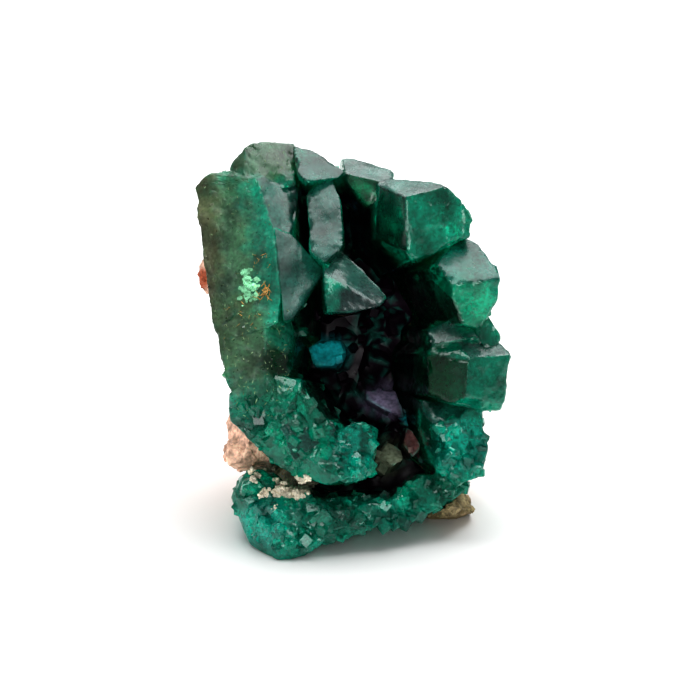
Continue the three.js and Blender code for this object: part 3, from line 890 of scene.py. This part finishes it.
dioptase = crystal_material(
    "dioptase", transmission=0.7, roughness=0.13, gloss=0.22, absorbed=(0.01, 0.74, 0.63), density=140
)
dark_dioptase = crystal_material(
    "dark_dioptase", transmission=0.15, roughness=0.34, gloss=0.08, absorbed=(0.3, 0.2, 0.35), density=600
)
rock = rock_material()
cluster = crystal_piece(
    "dioptase_cluster", "dioptase_crystals", dioptase, "dioptase", EMERALD, CRYSTAL_ZONES, CRYSTAL_EDGE,
    toned=FACET_SHEEN_AND_SHADE,
)
crust = crystal_piece(
    "hollow_crust", "hollow_crystals", dark_dioptase, "dark_dioptase", HOLLOW_BLACK_AND_SHADE, HOLLOW_ZONES, CRUST_EDGE,
    toned=(),
)
matrix = rock_piece("matrix", "carbonate_matrix", rock, ROCK_EDGE)

cluster_seen = sight(*cluster)
crust_seen = sight(*crust)
all_seen = sight(
    np.concatenate((cluster[0], crust[0], matrix[0])),
    np.concatenate((
        cluster[1], crust[1] + len(cluster[0]), matrix[1] + len(cluster[0]) + len(crust[0]),
    )),
)


druse = [
    planted(
        seats_on_face(cluster_seen, start, end, number), small_crystal, radii, stretch=1, slant=0.6, sunk=0.75
    )
    for start, end, number, radii in DRUSE_FIELDS
]
druse.append(planted(
    seats_on_flanks(*cluster, SIDE_DRUSE[0]), small_crystal, SIDE_DRUSE[1], stretch=1, slant=0.6, sunk=0.35
))
strewn_piece(
    "dioptase_druse", joined_plantings(druse), dioptase, "dioptase", crystal_colours,
    darkest=0.5, lightest=1.25,
)
start, end, number, radii = HOLLOW_DRUSE
strewn_piece(
    "hollow_druse",
    planted(
        seats_on_face(crust_seen, start, end, number), small_crystal, radii, stretch=1, slant=0.6, sunk=0.3
    ),
    dark_dioptase, "dark_dioptase", hollow_colours, darkest=0.6, lightest=1.4,
)
strewn_piece(
    "matrix_grains",
    planted(
        seats_all_round(*matrix, ROCK_GRAINS[0]), crumb, ROCK_GRAINS[1], stretch=0.8, slant=0.4, sunk=0.2
    ),
    rock, "carbonate_rock", rock_colours, darkest=0.7, lightest=1.1,
)
cream = [
    planted(
        heaped(seats_on_face(all_seen, start, end, number, chance.triangular), 2 * number),
        crumb, radii, stretch=0.8, slant=0.4, sunk=0.1,
    )
    for start, end, number, radii in CREAM_FIELDS
]
strewn_piece(
    "cream_grains", joined_plantings(cream), rock, "carbonate_rock", one_colour(CREAM),
    darkest=0.75, lightest=1.1,
)
start, end, number, radii = MINT_FIELD
strewn_piece(
    "mint_flakes",
    planted(
        seats_on_face(cluster_seen, start, end, number, chance.triangular), crumb, radii,
        stretch=0.25, slant=0.5, sunk=0.05,
    ),
    rock, "carbonate_rock", one_colour(MINT), darkest=0.5, lightest=1.1,
)
fibres = [
    planted(
        seats_on_face(cluster_seen, start, end, number), crumb, radii, stretch=12, slant=6, sunk=0
    )
    for start, end, number, radii in FIBRE_FIELDS
]
strewn_piece(
    "tan_fibres", joined_plantings(fibres), rock, "carbonate_rock", one_colour(STRAW),
    darkest=0.7, lightest=1.2,
)
flecks = [
    planted(
        seats_on_face(cluster_seen, start, end, number), crumb, radii, stretch=8, slant=6, sunk=0
    )
    for start, end, number, radii in FLECK_FIELDS
]
strewn_piece(
    "pale_flecks", joined_plantings(flecks), rock, "carbonate_rock", one_colour(FLECK),
    darkest=0.4, lightest=1.1,
)

floor_piece()
softbox("overhead", place=(0.04, 0.13, 0.42), size=0.5, brightness=2.8)
softbox("behind", place=(-0.1, 0.6, 0.3), size=0.4, brightness=0.6)
softbox("front", place=(-0.11, -0.71, 0.19), size=0.32, brightness=3.2)
room(brightness=0.34)
camera()

scene = bpy.context.scene
scene.view_settings.view_transform = "Standard"
scene.view_settings.look = "High Contrast"
